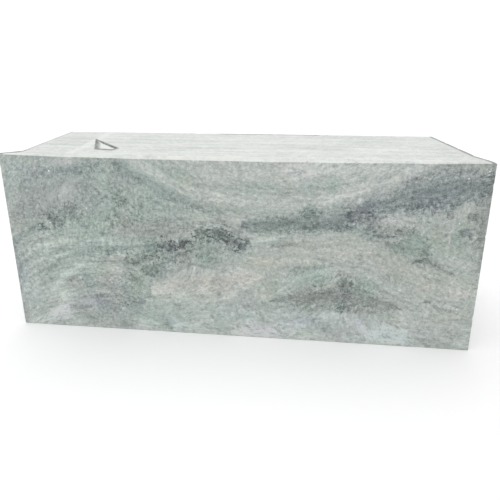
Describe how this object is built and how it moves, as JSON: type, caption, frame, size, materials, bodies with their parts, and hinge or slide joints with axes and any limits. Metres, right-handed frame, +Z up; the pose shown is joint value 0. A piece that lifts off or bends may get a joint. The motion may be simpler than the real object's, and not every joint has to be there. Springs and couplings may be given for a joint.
{
  "type": "marble slab",
  "caption": "Thick rectangular slab of grey-green banded marble with a polished long face, sawn top, back and base, and hewn ends.",
  "frame": {"origin": "middle of the base, on the surface that the slab stands on", "axes": "+X along the slab, to the right as one faces the polished side; +Y from the polished face to the back; +Z up"},
  "size_m": [2.4, 0.64, 0.99],
  "materials": {
    "marble": "polished on the long front face, sawn on top, back and base, hewn at the ends"
  },
  "bodies": {
    "root": {"marble_slab": "marble"}
  },
  "joints": []
}
